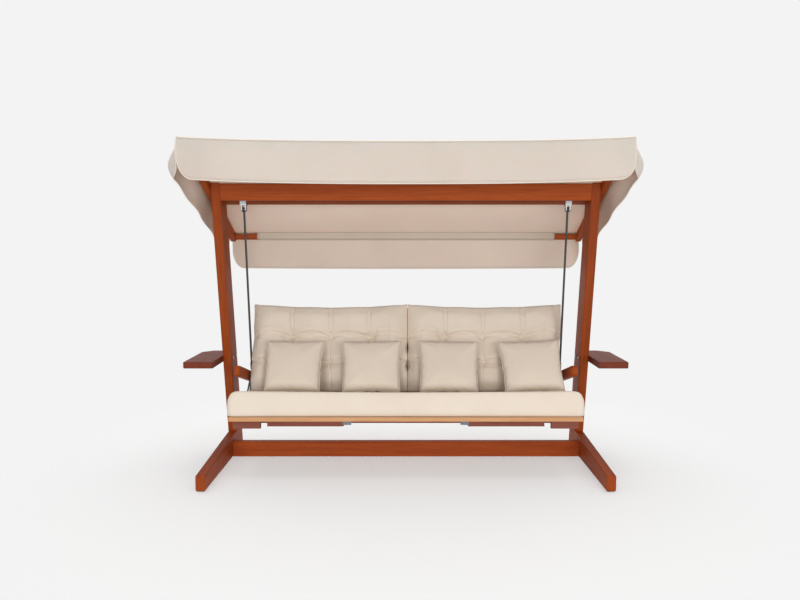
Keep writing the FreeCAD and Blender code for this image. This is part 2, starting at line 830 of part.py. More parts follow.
def make_back_cushion():
    """A tufted cushion in the back's frame: rows of bulging cells, drawn in at the button columns."""
    inner = back_cushion_split / 2
    width = back_cushion_outer_x - inner
    rear = -back_slat_thickness - soft_clearance
    sections = []
    for step in range(2 * back_cushion_columns + 1):
        share = step / (2 * back_cushion_columns)
        x = inner + share * width
        depth = tuft_depth(share)
        draw = back_cushion_end_draw if share in (0, 1) else 0
        front = rear - depth
        low = draw + back_cushion_bulge
        high = back_cushion_height - draw - back_cushion_bulge
        joints = [low] + [row * back_cushion_height for row in back_cushion_rows] + [high]
        section = [(vec(x, rear, high), None),
                   (vec(x, rear, low), vec(x, (rear + front) / 2, low - back_cushion_bulge))]
        for below, above in zip(joints, joints[1:]):
            section.append((vec(x, front, below), vec(x, front - back_cushion_bulge, (below + above) / 2)))
        section.append((vec(x, front, high), vec(x, (rear + front) / 2, high + back_cushion_bulge)))
        sections.append(section)
    return loft(sections)


def make_buttons():
    inner = back_cushion_split / 2
    width = back_cushion_outer_x - inner
    face = -back_slat_thickness - soft_clearance - back_cushion_tuft - button_gap
    buttons = []
    for column in range(1, back_cushion_columns):
        for row in back_cushion_rows:
            place = vec(inner + width * column / back_cushion_columns, face, row * back_cushion_height)
            stem = facet_bar(button_stem_radius, place, vec(0, -button_stem, 0))
            cap = facet_bar(button_radius, place - vec(0, button_stem, 0), vec(0, -button_height, 0))
            buttons.append(stem.fuse(cap).removeSplitter())
    return buttons


def make_pillow():
    """A square pillow, thin at its seams, full in the middle and drawn in along its sides."""
    half = pillow_size / 2
    stations = list(zip(pillow_spread, pillow_fullness, pillow_drawn))
    rows = [(-spread, full, drawn) for spread, full, drawn in stations]
    rows += reversed(stations[:-1])
    sections = []
    for spread, full, drawn in rows:
        x = spread * half
        reach = half - drawn * pillow_side_draw
        bulge = full * pillow_thickness / 2
        edge = min(pillow_edge, bulge) / 2
        sections.append([
            (vec(x, edge, -reach), vec(x, bulge, 0)),
            (vec(x, edge, reach), None),
            (vec(x, -edge, reach), vec(x, -bulge, 0)),
            (vec(x, -edge, -reach), None),
        ])
    return loft(sections)


def settle(shape, onto, direction):
    """Move a soft piece along direction until it lies a clearance away from what holds it."""
    for _ in range(settle_rounds):
        gap = min(shape.distToShape(other)[0] for other in onto)
        if gap <= soft_clearance + settle_margin:
            break
        shape.translate(direction * (gap - soft_clearance))
    return shape


def make_soft_goods():
    """The cushions and pillows, each set on what carries it, in the seat's frame."""
    seat = make_seat_cushion()
    up = back_frame.Rotation.multVec(vec(0, 0, 1))
    rearward = back_frame.Rotation.multVec(vec(0, 1, 0))
    start = cushion_thickness + 2 * cushion_crown
    right = on_back(make_back_cushion())
    right.translate(up * start)
    resting = right.copy()
    settle(resting, [seat], up * -1)
    drop = resting.Placement.Base - right.Placement.Base
    buttons = []
    for button in make_buttons():
        button = on_back(button)
        button.translate(up * start + drop)
        buttons += [button, mirror(button)]
    backs = [resting, mirror(resting)]
    pillows = []
    tilt = FreeCAD.Rotation(vec(1, 0, 0), -pillow_lean)
    stand_off = back_cushion_crown + back_cushion_bulge + pillow_thickness
    for share in pillow_shares:
        x = share * back_cushion_outer_x
        pillow = make_pillow()
        pillow.Placement = FreeCAD.Placement(vec(x, -stand_off, pillow_size / 2), tilt)
        pillow = on_back(pillow)
        pillow.translate(up * start)
        settle(pillow, [seat], up * -1)
        settle(pillow, backs + [seat], rearward)
        pillows.append(pillow)
    return seat, backs, buttons, pillows


def build_stand():
    save_pair("runner", make_runner())
    save("foot_glides", *make_glides())
    save_pair("post", make_post())
    save("lower_stretcher", make_stretcher())
    top_outline = leaning_outline(top_beam_bottom_z, top_beam_setback, timber)
    save("top_beam", make_beam(top_outline, roof_bolts[0]))
    save("hanger_beam", make_hanger_beam())
    save_pair("canopy_arm", make_roof_arm())
    save("canopy_front_bar", make_front_bar())
    save("canopy_rear_bar", make_rear_bar())
    save("rear_bar_sleeve", make_sleeve())
    save("canopy_top", make_roof_sheet())
    front_top = arm_top(roof_front_y) + canvas
    save("front_valance", make_valance(valance_front_y, front_valance_half_width, front_top))
    rear_top = arm_top(roof_rear_y) + canvas
    save("rear_valance", make_valance(roof_rear_y, rear_valance_half_width, rear_top))
    save_pair("side_flap", make_flap())
    save_pair("tray", make_tray())
    tray_fixings = [bolt(post_inner_x, post_outer_x + bolt_grip, y, z) for y, z in tray_bolts]
    save("tray_bolts", *tray_fixings, *[mirror(item) for item in tray_fixings])
    fixings = [bolt(roof_arm_outer_x, post_inner_x - bolt_grip, y, z) for y, z in roof_bolts]
    fixings.append(bolt(post_outer_x, post_inner_x - bolt_grip, *stretcher_bolt))
    save("frame_bolts", *fixings, *[mirror(item) for item in fixings])
    save_pair("hanger_bracket", make_hanger_bracket())
    pin = make_pin()
    save("hanger_pins", pin, mirror(pin))
    save("bracket_screws", *make_screws())


def build_bench():
    save_pair("hanger_rod", make_rod())
    bush = make_bush()
    save("rod_bushes", bush, mirror(bush))
    save_pair("arm", make_arm())
    spacer = make_arm_spacer()
    save("arm_spacers", spacer, mirror(spacer))
    arm_outer_x = arm_inner_x + arm_thickness
    arm_fixing = bolt(rod_x - eye_thickness / 2, arm_outer_x, arm_bolt_point.y, arm_bolt_point.z)
    nut_place = vec(arm_outer_x, arm_bolt_point.y, arm_bolt_point.z)
    nut = facet_bar(bolt_head_radius, nut_place, vec(bolt_head_height, 0, 0))
    arm_fixing = arm_fixing.fuse(nut).removeSplitter()
    save("arm_bolts", arm_fixing, mirror(arm_fixing))
    save_pair("stay", make_stay())
    stay_fixings = [bolt(arm_inner_x, side_rail_inner_x, foot.y, foot.z) for foot in stay_feet()]
    save("stay_bolts", *stay_fixings, *[mirror(item) for item in stay_fixings])
    front_rail = box(-rail_half_length, rail_half_length, 0, rail_depth, -front_rail_height, 0)
    save("seat_front_rail", on_seat(front_rail))
    rear_start = seat_depth - rail_depth
    rear_rail = box(-side_rail_outer_x, side_rail_outer_x, rear_start, seat_depth, side_rail_low, 0)
    save("seat_rear_rail", on_seat(rear_rail))
    save_pair("seat_rail", make_side_rail())
    half = side_rail_thickness / 2
    under_slats = -seat_slat_thickness
    taper = [(rail_depth, under_slats), (rear_start, under_slats),
             (rear_start, under_slats - centre_rail_rear_height), (rail_depth, -front_rail_height)]
    save("seat_centre_rail", on_seat(prism(taper, -half, half)))
    save("seat_slats", *make_seat_slats())
    block = make_block()
    save("front_blocks", block, mirror(block))
    board = make_board()
    save("front_boards", board, mirror(board))
    angle = make_angle()
    save("board_angles", angle, mirror(angle))
    stile = make_stile(stile_outer_x - stile_width)
    save("back_stiles", stile, mirror(stile), make_stile(-stile_width / 2))
    save("back_rails", *make_back_rails())
    save("back_slats", *make_back_slats())
    seat, backs, buttons, pillows = make_soft_goods()
    save("seat_cushion", on_seat(seat))
    save("right_back_cushion", on_seat(backs[0]))
    save("left_back_cushion", on_seat(backs[1]))
    save("cushion_buttons", *[on_seat(button) for button in buttons])
    for number, pillow in enumerate(pillows, 1):
        save("pillow_%d" % number, on_seat(pillow))


build_stand()
build_bench()
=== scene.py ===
# %% [markdown]
# # A canopy swing
# A hardwood stand carries a canvas roof, and a cushioned bench hangs from it on two steel rods. The rigid
# pieces come from CAD and stay where they are. Blender gives them their finish and makes everything that is
# sewn: cushions, pillows and canvas. Nothing is moved to fit, because both share one frame in metres.

# %% Load the rigid frame
import math

import bmesh
import bpy
import numpy as np
from mathutils import Matrix, Vector, noise


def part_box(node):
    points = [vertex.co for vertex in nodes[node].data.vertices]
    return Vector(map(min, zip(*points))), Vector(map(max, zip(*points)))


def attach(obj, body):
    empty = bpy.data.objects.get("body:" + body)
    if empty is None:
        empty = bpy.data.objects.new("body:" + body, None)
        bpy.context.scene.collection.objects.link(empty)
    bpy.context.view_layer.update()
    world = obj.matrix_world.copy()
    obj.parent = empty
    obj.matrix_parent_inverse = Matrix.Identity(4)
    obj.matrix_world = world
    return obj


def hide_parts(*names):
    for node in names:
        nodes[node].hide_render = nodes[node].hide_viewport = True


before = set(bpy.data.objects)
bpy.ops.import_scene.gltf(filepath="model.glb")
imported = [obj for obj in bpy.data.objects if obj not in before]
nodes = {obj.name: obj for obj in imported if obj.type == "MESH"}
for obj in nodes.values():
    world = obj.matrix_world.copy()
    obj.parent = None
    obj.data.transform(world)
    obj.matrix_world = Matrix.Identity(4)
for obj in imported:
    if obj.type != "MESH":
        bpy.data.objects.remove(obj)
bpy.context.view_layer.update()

scene = bpy.context.scene
print("rigid nodes:", len(nodes))

# %% [markdown]
# ## The camera
# The picture was taken from a little above the seat back, looking slightly down. The eye point and the lens were
# worked out from edges whose lengths are known, so the render can be laid over the picture. A camera can also be
# matched by eye, but then the widths and the depths never agree at once.

# %% Set the camera
eye = Vector((0.0, -4.666, 1.465))
look_down = math.radians(4.623)
focal_px = 715.9
image_width = 800
sideways_px = 5.8

camera_data = bpy.data.cameras.new("photo_camera")
camera_data.sensor_width = 36.0
camera_data.lens = focal_px * camera_data.sensor_width / image_width
camera_data.shift_x = -sideways_px / image_width
camera = bpy.data.objects.new("photo_camera", camera_data)
camera.location = eye
camera.rotation_euler = (math.pi / 2 - look_down, 0.0, 0.0)
scene.collection.objects.link(camera)
scene.camera = camera
scene.view_settings.view_transform = "Standard"
print("lens in mm:", round(camera_data.lens, 2))

# %% [markdown]
# ## Helpers for every finish
# Colours are picked as sRGB hex values, as in any paint program, but a shader wants linear light, so one function
# turns them. A second one adds a node, sets its values and links it, and a third joins the finished patterns to
# the shader. With these a finish reads from top to bottom like a recipe.

# %% Colour and node helpers
def linear(hex_code):
    """An sRGB hex colour as linear red, green, blue and alpha."""
    parts = [int(hex_code[i:i + 2], 16) / 255 for i in (1, 3, 5)]
    return [p / 12.92 if p <= 0.04045 else ((p + 0.055) / 1.055) ** 2.4 for p in parts] + [1.0]


def add(tree, kind, settings=None, sockets=None):
    """Add a node. A socket's value is either a plain value or another node's output to link."""
    node = tree.nodes.new(kind)
    for name, value in (settings or {}).items():
        setattr(node, name, value)
    for name, value in (sockets or {}).items():
        if isinstance(value, bpy.types.NodeSocket):
            tree.links.new(value, node.inputs[name])
        else:
            node.inputs[name].default_value = value
    return node


def new_material(name):
    """A named material with its node tree and its shader."""
    material = bpy.data.materials.new(name)
    material.use_nodes = True
    return material, material.node_tree, material.node_tree.nodes["Principled BSDF"]


def wire(tree, shader, colour, roughness, normal):
    """Link a finish's three patterns to its shader."""
    for socket, source in (("Base Color", colour), ("Roughness", roughness), ("Normal", normal)):
        tree.links.new(source, shader.inputs[socket])


mm = 0.001
print("helpers ready")

# %% [markdown]
# ## Studio
# The background is one pale grey from edge to edge. A backdrop could be a curved sheet, but a floor disc that
# fades out into the world colour leaves no horizon at all, and it still catches the soft shadow of the stand.
# It covers only about half, so that the shadow stays as light as in the picture. The world shows its pale grey to
# the camera and to reflections, and lights the object as a plain white dome. Three large lamps give the form its
# shading: one overhead that shines through the canvas, one far in front and a little to the left, and a weaker
# one on the right. The front lamps stand low, so their light reaches in under the roof and between the pillows.

# %% World
dome_strength = 0.52
world = bpy.data.worlds.new("pale_studio")
scene.world = world
world.use_nodes = True
tree = world.node_tree
tree.nodes.clear()
rays = add(tree, "ShaderNodeLightPath")
seen = add(tree, "ShaderNodeMath", {"operation": "MAXIMUM"},
           {0: rays.outputs["Is Camera Ray"], 1: rays.outputs["Is Glossy Ray"]})
seen = add(tree, "ShaderNodeMath", {"operation": "MAXIMUM"},
           {0: seen.outputs[0], 1: rays.outputs["Is Transmission Ray"]})
dome = add(tree, "ShaderNodeBackground", None, {"Color": linear("#FFFFFF"), "Strength": dome_strength})
paper = add(tree, "ShaderNodeBackground", None, {"Color": linear("#F3F3F3"), "Strength": 1.0})
shown = add(tree, "ShaderNodeMixShader", None,
            {0: seen.outputs[0], 1: dome.outputs[0], 2: paper.outputs[0]})
add(tree, "ShaderNodeOutputWorld", None, {"Surface": shown.outputs[0]})
print("dome strength:", dome_strength)

# %% Floor disc
floor_radius = 7.0
fade_start = 1.5
fade_end = 3.1
floor_cover = 0.5
sides = 96
ring = [(floor_radius * math.cos(2 * math.pi * i / sides), floor_radius * math.sin(2 * math.pi * i / sides), -mm)
        for i in range(sides)]
floor_mesh = bpy.data.meshes.new("studio_floor")
floor_mesh.from_pydata(ring, [], [list(range(sides))])
floor = bpy.data.objects.new("studio_floor", floor_mesh)
scene.collection.objects.link(floor)
material, tree, shader = new_material("matt_paper_floor")
place = add(tree, "ShaderNodeTexCoord")
away = add(tree, "ShaderNodeVectorMath", {"operation": "LENGTH"}, {0: place.outputs["Object"]})
fade = add(tree, "ShaderNodeMapRange", {"interpolation_type": "SMOOTHSTEP"},
           {"Value": away.outputs["Value"], "From Min": fade_start, "From Max": fade_end,
            "To Min": floor_cover, "To Max": 0.0})
shader.inputs["Base Color"].default_value = linear("#FCFCFC")
shader.inputs["Roughness"].default_value = 0.95
shader.inputs["Specular IOR Level"].default_value = 0.0
tree.links.new(fade.outputs[0], shader.inputs["Alpha"])
floor_mesh.materials.append(material)
print("floor radius in m:", floor_radius)

# %% Soft lamps
def soft_lamp(name, place, target, width, height, watts):
    """A large rectangular lamp that looks at target."""
    data = bpy.data.lights.new(name, "AREA")
    data.shape = "RECTANGLE"
    data.size = width
    data.size_y = height
    data.energy = watts
    lamp = bpy.data.objects.new(name, data)
    lamp.location = place
    lamp.rotation_euler = (Vector(target) - Vector(place)).to_track_quat("-Z", "Y").to_euler()
    scene.collection.objects.link(lamp)


soft_lamp("overhead_softbox", (0.0, 0.6, 4.6), (0.0, 0.3, 0.0), 6.0, 5.0, 165.0)
soft_lamp("front_softbox", (-1.2, -9.0, 1.5), (0.0, 0.1, 1.0), 4.0, 2.4, 252.0)
soft_lamp("right_fill", (3.6, -8.6, 1.5), (0.0, 0.1, 1.1), 3.6, 2.4, 182.0)
print("lamps: overhead, front and fill")

# %% [markdown]
# ## Oiled hardwood
# The stand is an orange-brown tropical hardwood, planed, sanded and oiled. Oil leaves a satin skin and makes the
# pores show as fine dark strokes along the piece. Grain has to follow each piece's own length, so the same recipe
# is used once for each direction in which timber runs. The mapping node works as a ruler here: its scale is
# the length and the width of one grain streak in metres.

# %% Hardwood recipe
def hardwood(name, run, pale, deep, pore, gloss):
    """Oiled timber. run is 'X', or the angle in degrees from +Y towards +Z along which the piece lies."""
    material, tree, shader = new_material(name)
    place = add(tree, "ShaderNodeTexCoord")
    streaks = {}
    # Real pores are under half a millimetre wide, so they are drawn ten times coarser to show at all.
    for layer, long_mm, wide_mm in (("band", 1500, 75), ("streak", 420, 13), ("pore", 150, 4.5)):
        along, across = long_mm * mm, wide_mm * mm
        scale = (along, across, across) if run == "X" else (across, along, across)
        turn = 0.0 if run == "X" else math.radians(run)
        ruler = add(tree, "ShaderNodeMapping", {"vector_type": "TEXTURE"},
                    {"Vector": place.outputs["Object"], "Rotation": (turn, 0.0, 0.0), "Scale": scale})
        streaks[layer] = add(tree, "ShaderNodeTexNoise", None,
                             {"Vector": ruler.outputs[0], "Scale": 1.0, "Detail": 4.0, "Roughness": 0.6,
                              "Distortion": 0.5}).outputs["Fac"]
    broad = add(tree, "ShaderNodeMapRange", None, {"Value": streaks["band"], "From Min": 0.32, "From Max": 0.68})
    fine = add(tree, "ShaderNodeMapRange", None, {"Value": streaks["streak"], "From Min": 0.3, "From Max": 0.72})
    dark = add(tree, "ShaderNodeMapRange", None,
               {"Value": streaks["pore"], "From Min": 0.52, "From Max": 0.74, "To Max": 0.55})
    figure = add(tree, "ShaderNodeMath", {"operation": "MULTIPLY"}, {0: broad.outputs[0], 1: 0.55})
    figure = add(tree, "ShaderNodeMath", {"operation": "MULTIPLY_ADD", "use_clamp": True},
                 {0: fine.outputs[0], 1: 0.45, 2: figure.outputs[0]})
    body = add(tree, "ShaderNodeMix", {"data_type": "RGBA"},
               {0: figure.outputs[0], 6: linear(pale), 7: linear(deep)})
    body = add(tree, "ShaderNodeMix", {"data_type": "RGBA"},
               {0: dark.outputs[0], 6: body.outputs[2], 7: linear(pore)})
    sheen = add(tree, "ShaderNodeMapRange", None,
                {"Value": streaks["streak"], "To Min": gloss, "To Max": gloss + 0.2})
    relief = add(tree, "ShaderNodeBump", {"invert": True},
                 {"Strength": 0.35, "Distance": 0.4 * mm, "Height": dark.outputs[0]})
    wire(tree, shader, body.outputs[2], sheen.outputs[0], relief.outputs[0])
    # Oil sinks in, so it reflects far less than a film of varnish.
    shader.inputs["Specular IOR Level"].default_value = 0.14
    return material


print("hardwood recipe ready")

# %% Finish the timber
def dress(members, finish):
    """Give rigid nodes a finish in place of their plain one."""
    for member in members:
        nodes[member].data.materials.clear()
        nodes[member].data.materials.append(finish)


# The posts lean forward by post_slope per metre of height, and the roof falls by roof_slope per metre of depth.
# The bench's tilts are in degrees.
post_slope, roof_slope = 0.201, 0.475
seat_tilt, arm_tilt, back_lean = -11.3, -15.64, 4.5
tones = ("#AF511A", "#8F3A10", "#642409", 0.42)
# The posts and runners are the same timber as the other pieces. Their darker copy of its colour is painted shade,
# set for how the light falls on them.
post_tones_painted_shade = ("#A04816", "#82340E", "#5A2008", 0.42)
post_run = 90 + math.degrees(math.atan(post_slope))
roof_run = -math.degrees(math.atan(roof_slope))
back_run = 90 + seat_tilt - back_lean
timber = {
    "oiled_hardwood_across": ("X", tones, ["top_beam", "lower_stretcher", "canopy_front_bar", "canopy_rear_bar",
                                           "back_rails"]),
    "oiled_hardwood_runner": (0.0, post_tones_painted_shade, ["left_runner", "right_runner"]),
    "oiled_hardwood_post": (post_run, post_tones_painted_shade, ["left_post", "right_post"]),
    "oiled_hardwood_roof_arm": (roof_run, tones, ["left_canopy_arm", "right_canopy_arm"]),
    "oiled_hardwood_seat": (seat_tilt, tones, ["left_seat_rail", "right_seat_rail", "seat_centre_rail"]),
    "oiled_hardwood_arm": (arm_tilt, tones, ["left_arm", "right_arm"]),
    "oiled_hardwood_back": (back_run, tones, ["back_stiles", "back_slats", "arm_spacers"]),
    "oiled_hardwood_tray": (0.0, ("#7C3C26", "#672914", "#481C0D", 0.4), ["left_tray", "right_tray"]),
    "shaded_hardwood_hanger": ("X", ("#8A4322", "#6E3218", "#4A2010", 0.45), ["hanger_beam", "seat_rear_rail"]),
    "shaded_hardwood_board": ("X", ("#8B5143", "#723C31", "#4F281F", 0.5), ["front_boards", "front_blocks"]),
    "pale_hardwood_rail": ("X", ("#D6A67A", "#C08C5E", "#96673F", 0.45), ["seat_front_rail", "seat_slats"]),
}
for name, (run, (pale, deep, pore, gloss), members) in timber.items():
    dress(members, hardwood(name, run, pale, deep, pore, gloss))
print("timber finishes:", len(timber))

# %% [markdown]
# ## Metal, rubber and nylon
# The rods and stays are steel with a black powder coat: matt, with a faint orange-peel skin. Brackets, bolts and
# screws are zinc plated, which is a real metal surface with cloudy patches of different gloss. The angles under
# the seat are zinc steel too and a little duller, and their colour is painted a darker grey, which is painted
# shade for their place under the seat. The glides are moulded rubber, and the bushes in the rod eyes are turned
# nylon. Each one gets its roughness from a noise, because an even gloss looks like plastic.

# %% Hardware recipe
def hardware(name, tone, worn, metallic, rough, patch_mm, relief_mm):
    """A hard finish with patches of patch_mm, which change its tone and gloss a little."""
    material, tree, shader = new_material(name)
    place = add(tree, "ShaderNodeTexCoord")
    patch = add(tree, "ShaderNodeTexNoise", None,
                {"Vector": place.outputs["Object"], "Scale": 1 / (patch_mm * mm), "Detail": 3.0})
    blend = add(tree, "ShaderNodeMix", {"data_type": "RGBA"},
                {0: patch.outputs["Fac"], 6: linear(tone), 7: linear(worn)})
    gloss = add(tree, "ShaderNodeMapRange", None,
                {"Value": patch.outputs["Fac"], "To Min": rough - 0.1, "To Max": rough + 0.12})
    skin = add(tree, "ShaderNodeBump", None,
               {"Strength": 0.3, "Distance": relief_mm * mm, "Height": patch.outputs["Fac"]})
    wire(tree, shader, blend.outputs[2], gloss.outputs[0], skin.outputs[0])
    shader.inputs["Metallic"].default_value = metallic
    return material


fittings = {
    "powder_coated_steel": (("#2B2B2C", "#3A3937", 0.0, 0.42, 3.0, 0.1),
                            ["left_hanger_rod", "right_hanger_rod", "left_stay", "right_stay"]),
    "zinc_plated_steel": (("#A7A9AB", "#86888A", 1.0, 0.4, 7.0, 0.05),
                          ["left_hanger_bracket", "right_hanger_bracket", "hanger_pins", "bracket_screws",
                           "frame_bolts", "tray_bolts", "stay_bolts", "arm_bolts"]),
    # The angles are the same zinc steel; their darker grey is painted shade for their place under the seat.
    "zinc_steel_painted_shade": (("#5F6062", "#4B4C4E", 1.0, 0.48, 9.0, 0.08), ["board_angles"]),
    "moulded_rubber": (("#1E1C1B", "#2A2725", 0.0, 0.7, 4.0, 0.3), ["foot_glides"]),
    "turned_nylon": (("#E4E0D6", "#D2CDC0", 0.0, 0.45, 5.0, 0.05), ["rod_bushes"]),
}
for name, (recipe, members) in fittings.items():
    dress(members, hardware(name, *recipe))
print("fittings:", len(fittings))

# %% [markdown]
# ## Cloth
# The roof is a heavy plain-weave canvas, and the cushions and their piping are a softer cotton with slubs, the
# thicker places in hand-like yarn. All get a weave of two sets of threads at right angles. One set runs across,
# along X, and the other is measured at 45 degrees between Y and Z, so that it shows on level and on upright cloth
# alike. A little sheen stands for the loose fibres at the surface. Daylight glows through a single canvas, so it
# scatters light inside. The sleeve on the rear bar is doubled, so little light glows through it, and its colour is
# also painted darker than the roof's, which is painted shade.

# %% Cloth recipe
def woven(name, pale, deep, thread_mm, blotch_mm, slub_mm, relief_mm, sheen, glow):
    """Plain-weave cloth with threads thread_mm apart, slubs and broad soft changes of tone."""
    material, tree, shader = new_material(name)
    place = add(tree, "ShaderNodeTexCoord")
    threads = []
    for turn, axis in ((0.0, "X"), (math.radians(45), "Y")):
        ruler = add(tree, "ShaderNodeMapping", {"vector_type": "TEXTURE"},
                    {"Vector": place.outputs["Object"], "Rotation": (turn, 0.0, 0.0)})
        # At scale 1 the wave repeats every pi / 10 of a unit.
        wave = add(tree, "ShaderNodeTexWave", {"bands_direction": axis},
                   {"Vector": ruler.outputs[0], "Scale": math.pi / 10 / (thread_mm * mm), "Distortion": 0.6,
                    "Detail": 1.0})
        threads.append(wave.outputs["Fac"])
    weave = add(tree, "ShaderNodeMath", {"operation": "MULTIPLY"}, {0: threads[0], 1: threads[1]})
    slub_ruler = add(tree, "ShaderNodeMapping", {"vector_type": "TEXTURE"},
                     {"Vector": place.outputs["Object"], "Scale": (6 * slub_mm * mm, slub_mm * mm, slub_mm * mm)})
    slub = add(tree, "ShaderNodeTexNoise", None, {"Vector": slub_ruler.outputs[0], "Scale": 1.0, "Detail": 3.0})
    blotch = add(tree, "ShaderNodeTexNoise", None,
                 {"Vector": place.outputs["Object"], "Scale": 1 / (blotch_mm * mm), "Detail": 2.0})
    tone = add(tree, "ShaderNodeMath", {"operation": "MULTIPLY_ADD"},
               {0: slub.outputs["Fac"], 1: 0.4, 2: -0.2})
    tone = add(tree, "ShaderNodeMath", {"operation": "ADD", "use_clamp": True},
               {0: tone.outputs[0], 1: blotch.outputs["Fac"]})
    body = add(tree, "ShaderNodeMix", {"data_type": "RGBA"},
               {0: tone.outputs[0], 6: linear(pale), 7: linear(deep)})
    height = add(tree, "ShaderNodeMath", {"operation": "MULTIPLY_ADD"},
                 {0: slub.outputs["Fac"], 1: 0.8, 2: weave.outputs[0]})
    relief = add(tree, "ShaderNodeBump", None,
                 {"Strength": 0.3, "Distance": relief_mm * mm, "Height": height.outputs[0]})
    dry = add(tree, "ShaderNodeMapRange", None,
              {"Value": slub.outputs["Fac"], "To Min": 0.8, "To Max": 0.97})
    wire(tree, shader, body.outputs[2], dry.outputs[0], relief.outputs[0])
    shader.inputs["Subsurface Weight"].default_value = glow
    shader.inputs["Subsurface Radius"].default_value = (1.0, 0.7, 0.45)
    shader.inputs["Subsurface Scale"].default_value = 6 * mm
    shader.inputs["Sheen Weight"].default_value = sheen
    shader.inputs["Sheen Roughness"].default_value = 0.5
    shader.inputs["Specular IOR Level"].default_value = 0.25
    return material


# Threads are about 0.6 mm apart on the real cloths and are drawn at 2 to 3 mm, so that they show close up.
canvas = woven("plain_weave_canvas", "#D8CFC6", "#CDC3B9", 3.0, 420, 9, 0.35, 0.05, 0.85)
cotton = woven("slub_cotton", "#E8DBCB", "#DDCEBD", 2.4, 260, 7, 0.35, 0.12, 0.0)
piping = woven("cotton_piping", "#EADFD2", "#DDCFBF", 2.0, 120, 5, 0.3, 0.1, 0.0)
# The sleeve is the same cloth as the roof. Its low glow stands for the doubled cloth, and its darker colour is
# painted shade.
doubled_painted_shade_canvas = woven("doubled_canvas_painted_shade", "#CDBFB0", "#C0B1A1", 3.0, 420, 9, 0.35, 0.05, 0.1)
print("cloths:", canvas.name, doubled_painted_shade_canvas.name, cotton.name, piping.name)

# %% [markdown]
# ## Tools for sewn pieces
# A sewn piece is a mesh of many points, so the points are handled as one array. `new_piece` makes an object
# that rides on a body of the frame. `bake` turns modifiers into plain mesh, `inflate` blows a closed mesh up
# with the cloth solver as stuffing would, and `tube` sweeps a round cord, for piping and hems.

# %% Mesh tools
def new_piece(name, verts, faces, finish, body):
    """A smooth mesh piece with a finish, riding on a body."""
    mesh = bpy.data.meshes.new(name)
    mesh.from_pydata([tuple(v) for v in verts], [], faces)
    mesh.materials.append(finish)
    piece = bpy.data.objects.new(name, mesh)
    scene.collection.objects.link(piece)
    mesh.shade_smooth()
    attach(piece, body)
    return piece


def get_points(mesh):
    flat = np.zeros(len(mesh.vertices) * 3)
    mesh.vertices.foreach_get("co", flat)
    return flat.reshape(-1, 3)


def set_points(piece, points):
    piece.data.vertices.foreach_set("co", np.asarray(points).ravel())
    piece.data.update()


def bake(piece):
    """Keep what the modifiers make as the piece's own mesh."""
    shown = piece.evaluated_get(bpy.context.evaluated_depsgraph_get())
    mesh = bpy.data.meshes.new_from_object(shown)
    piece.modifiers.clear()
    piece.data = mesh
    mesh.shade_smooth()


def modify(piece, kind, **settings):
    modifier = piece.modifiers.new(kind.title(), kind)
    for name, value in settings.items():
        setattr(modifier, name, value)
    return modifier


def grid_faces(rows, columns):
    """Faces of a grid of points that are listed row by row."""
    return [(r * columns + c, r * columns + c + 1, (r + 1) * columns + c + 1, (r + 1) * columns + c)
            for r in range(rows - 1) for c in range(columns - 1)]


print("mesh tools ready")

# %% Stuffing and piping tools
solver_frames = 20


def inflate(piece, pressure, cap_mm, held=None, tension=15.0, stop_mm=None):
    """Blow a closed mesh up with the cloth solver, until it is stop_mm thick if that is given.

    No point moves by more than cap_mm, and the held ones stay.
    """
    start = get_points(piece.data)
    cloth = modify(piece, "CLOTH")
    cloth.settings.use_pressure = True
    cloth.settings.uniform_pressure_force = pressure
    cloth.settings.effector_weights.gravity = 0.0
    cloth.settings.tension_stiffness = tension
    cloth.settings.compression_stiffness = tension
    if held is not None:
        group = piece.vertex_groups.new(name="held")
        group.add([int(i) for i in held], 1.0, "REPLACE")
        cloth.settings.vertex_group_mass = "held"
    for number in range(1, solver_frames + 1):
        scene.frame_set(number)
        shown = piece.evaluated_get(bpy.context.evaluated_depsgraph_get())
        blown = get_points(shown.data)
        if stop_mm and np.ptp(blown[:, 1]) > stop_mm * mm:
            break
    moved = blown - start
    length = np.linalg.norm(moved, axis=1, keepdims=True)
    piece.modifiers.clear()
    set_points(piece, start + moved * np.minimum(1.0, cap_mm * mm / np.maximum(length, 1e-9)))
    scene.frame_set(1)
    print(piece.name, "swelled by up to", round(float(length.max()) / mm, 1), "mm")


def tube(name, path, radius_mm, finish, body, closed=False, around=8):
    """A round cord swept along a path of points."""
    path = np.asarray(path, float)
    ahead = np.roll(path, -1, axis=0) - np.roll(path, 1, axis=0)
    if not closed:
        ahead[0] = path[1] - path[0]
        ahead[-1] = path[-1] - path[-2]
    ahead /= np.linalg.norm(ahead, axis=1, keepdims=True)
    askew = (0.31, 0.52, 0.79)  # a direction that no path here starts in
    side = np.cross(ahead[0], askew)
    verts = []
    for point, heading in zip(path, ahead):
        side = side - heading * side.dot(heading)
        side /= np.linalg.norm(side)
        other = np.cross(heading, side)
        for step in range(around):
            angle = 2 * math.pi * step / around
            verts.append(point + radius_mm * mm * (math.cos(angle) * side + math.sin(angle) * other))
    count = len(path)
    faces = []
    for r in range(count if closed else count - 1):
        for c in range(around):
            after = (r + 1) % count
            faces.append((r * around + c, r * around + (c + 1) % around,
                          after * around + (c + 1) % around, after * around + c))
    if not closed:
        faces += [tuple(range(around))[::-1], tuple(range((count - 1) * around, count * around))]
    return new_piece(name, verts, faces, finish, body)


print("stuffing and piping tools ready")

# %% [markdown]
# ## Seat cushion
# One long cushion covers the seat. Its front corners stand out past the steel stays, and behind them it is
# narrower. The solid from CAD gives its room. It is remeshed into even small faces, shrunk a little and blown up
# again by the cloth solver, which rounds the edges as foam in a cover does. That alone gives a bolster, so the
# front and rear are then drawn out to upright, boxed edges, and the two ends keep a rounder drop.

